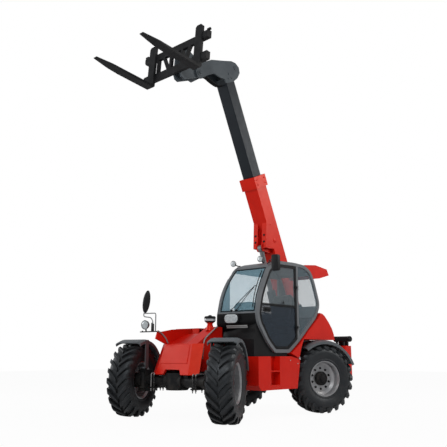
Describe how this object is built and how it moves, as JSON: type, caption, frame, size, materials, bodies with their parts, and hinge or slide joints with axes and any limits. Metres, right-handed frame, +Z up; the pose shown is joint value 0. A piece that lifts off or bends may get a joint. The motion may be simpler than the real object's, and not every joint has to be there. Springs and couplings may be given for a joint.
{
  "type": "telescopic handler with pallet forks",
  "caption": "Compact telescopic handler, cab beside a raised two-stage boom that carries a pallet fork carriage, on steered wheels turned in a curve.",
  "frame": {"origin": "on the ground, in the middle of the machine's length and width over all, a little behind the middle of the wheelbase", "axes": "+Z up, -Y forward the way the operator faces, +X to the machine's left, the cab side"},
  "size_m": [3.0108, 5.442, 6.8969],
  "materials": {
    "tyre_rubber": "matte moulded rubber",
    "rim_silver": "satin silver paint",
    "axle_black": "satin black paint",
    "fender_grey": "textured moulding",
    "frame_grey": "satin dark paint",
    "red_paint": "gloss paint",
    "cast_black": "painted casting",
    "cab_grey": "satin grey paint",
    "cab_black": "satin black paint",
    "window_glass": "clear tint",
    "seat_black": "woven cover",
    "black_plastic": "matte",
    "boom_dark": "satin dark paint",
    "head_grey": "satin grey paint",
    "fork_black": "worn black paint",
    "cylinder_grey": "satin paint",
    "rod_chrome": "ground hard chrome",
    "lamp_lens": "clear lens in a dark housing"
  },
  "bodies": {
    "chassis": {"front_axle": "axle_black", "rear_axle": "axle_black", "drive_line": "axle_black", "chassis_frame": "frame_grey", "front_nose": "red_paint", "rear_counterweight": "red_paint", "tow_hitch": "cast_black", "left_side_tank": "red_paint", "rear_left_cowl": "red_paint", "rear_right_cowl": "red_paint", "engine_tray": "frame_grey", "engine_block": "cast_black", "cab_frame": "cab_grey", "cab_base": "cab_black", "cab_roof": "cab_grey", "windscreen": "window_glass", "cab_windows": "window_glass", "operator_seat": "seat_black", "steering_column": "black_plastic", "front_bracket": "black_plastic", "lamps": "lamp_lens", "mirrors": "black_plastic", "air_precleaner": "black_plastic", "cab_rear_housing": "red_paint"},
    "door": {"cab_door": "cab_black", "door_glass": "window_glass"},
    "hood": {"engine_hood": "red_paint"},
    "boom": {"outer_boom": "red_paint"},
    "telescope": {"inner_boom": "boom_dark", "boom_head": "head_grey"},
    "carriage": {"tool_carrier": "head_grey", "fork_carriage": "boom_dark", "forks": "fork_black"},
    "lift_barrel": {"lift_cylinder_barrel": "cylinder_grey"},
    "lift_rod": {"lift_cylinder_rod": "rod_chrome"},
    "tilt_barrel": {"tilt_cylinder_barrel": "cylinder_grey"},
    "tilt_rod": {"tilt_cylinder_rod": "rod_chrome"},
    "steering_front_left": {"knuckle_front_left": "axle_black", "fender_front_left": "fender_grey"},
    "wheel_front_left": {"tyre_front_left": "tyre_rubber", "rim_front_left": "rim_silver"},
    "steering_front_right": {"knuckle_front_right": "axle_black", "fender_front_right": "fender_grey"},
    "wheel_front_right": {"tyre_front_right": "tyre_rubber", "rim_front_right": "rim_silver"},
    "steering_rear_left": {"knuckle_rear_left": "axle_black", "fender_rear_left": "fender_grey"},
    "wheel_rear_left": {"tyre_rear_left": "tyre_rubber", "rim_rear_left": "rim_silver"},
    "steering_rear_right": {"knuckle_rear_right": "axle_black", "fender_rear_right": "fender_grey"},
    "wheel_rear_right": {"tyre_rear_right": "tyre_rubber", "rim_rear_right": "rim_silver"}
  },
  "joints": [
    {"name": "boom_lift", "type": "hinge", "parent": "chassis", "child": "boom", "pos_m": [0, 2.016, 1.95], "axis": [-1, 0, 0], "range_deg": [-68, 3]},
    {"name": "boom_extend", "type": "slide", "parent": "boom", "child": "telescope", "axis": [0, -0.4163, 0.9092], "range_m": [-1.2, 0.05]},
    {"name": "carriage_tilt", "type": "hinge", "parent": "telescope", "child": "carriage", "pos_m": [0, -0.85523, 6.29954], "axis": [1, 0, 0], "range_deg": [-75, 55]},
    {"name": "lift_barrel_turn", "type": "hinge", "parent": "chassis", "child": "lift_barrel", "pos_m": [0, 1.813, 1.228], "axis": [-1, 0, 0], "range_deg": [-60, 5]},
    {"name": "lift_rod_slide", "type": "slide", "parent": "lift_barrel", "child": "lift_rod", "axis": [0, -0.3337, 0.9427], "range_m": [-0.8, 0.05]},
    {"name": "tilt_barrel_turn", "type": "hinge", "parent": "telescope", "child": "tilt_barrel", "pos_m": [0, 0.1722, 6.76994], "axis": [1, 0, 0], "range_deg": [-10, 10]},
    {"name": "tilt_rod_slide", "type": "slide", "parent": "tilt_barrel", "child": "tilt_rod", "axis": [0, -0.9851, -0.1718], "range_m": [-0.36, 0.26]},
    {"name": "door_swing", "type": "hinge", "parent": "chassis", "child": "door", "pos_m": [1.062, 0.842, 1.9], "axis": [0, 0, 1], "range_deg": [0, 85]},
    {"name": "hood_lift", "type": "hinge", "parent": "chassis", "child": "hood", "pos_m": [-0.272, 0.24, 1.532], "axis": [0, 1, 0], "range_deg": [0, 55]},
    {"name": "steer_front_left", "type": "hinge", "parent": "chassis", "child": "steering_front_left", "pos_m": [0.86, -1.185, 0.63], "axis": [0, 0, 1], "range_deg": [-58.5, 7.5]},
    {"name": "steer_front_right", "type": "hinge", "parent": "chassis", "child": "steering_front_right", "pos_m": [-0.86, -1.185, 0.63], "axis": [0, 0, 1], "range_deg": [-46.2, 6.8]},
    {"name": "steer_rear_left", "type": "hinge", "parent": "chassis", "child": "steering_rear_left", "pos_m": [0.86, 1.625, 0.63], "axis": [0, 0, 1], "range_deg": [-12.5, 53.5]},
    {"name": "steer_rear_right", "type": "hinge", "parent": "chassis", "child": "steering_rear_right", "pos_m": [-0.86, 1.625, 0.63], "axis": [0, 0, 1], "range_deg": [-10.8, 43.1]},
    {"name": "spin_front_left", "type": "hinge", "parent": "steering_front_left", "child": "wheel_front_left", "pos_m": [0.86, -1.185, 0.63], "axis": [0.8788, 0.4772, 0], "continuous": true},
    {"name": "spin_front_right", "type": "hinge", "parent": "steering_front_right", "child": "wheel_front_right", "pos_m": [-0.86, -1.185, 0.63], "axis": [0.9272, 0.3746, 0], "continuous": true},
    {"name": "spin_rear_left", "type": "hinge", "parent": "steering_rear_left", "child": "wheel_rear_left", "pos_m": [0.86, 1.625, 0.63], "axis": [0.9171, -0.3987, 0], "continuous": true},
    {"name": "spin_rear_right", "type": "hinge", "parent": "steering_rear_right", "child": "wheel_rear_right", "pos_m": [-0.86, 1.625, 0.63], "axis": [0.9483, -0.3173, 0], "continuous": true}
  ],
  "couplings": [
    {"joint": "lift_barrel_turn", "follows": "boom_lift", "ratio": 0.80966},
    {"joint": "lift_rod_slide", "follows": "boom_lift", "m_per_rad": 0.63221},
    {"joint": "tilt_barrel_turn", "follows": "carriage_tilt", "ratio": 0.05},
    {"joint": "tilt_rod_slide", "follows": "carriage_tilt", "m_per_rad": 0.24318},
    {"joint": "steer_front_right", "follows": "steer_front_left", "ratio": 0.77193},
    {"joint": "steer_rear_right", "follows": "steer_rear_left", "ratio": 0.78723}
  ]
}
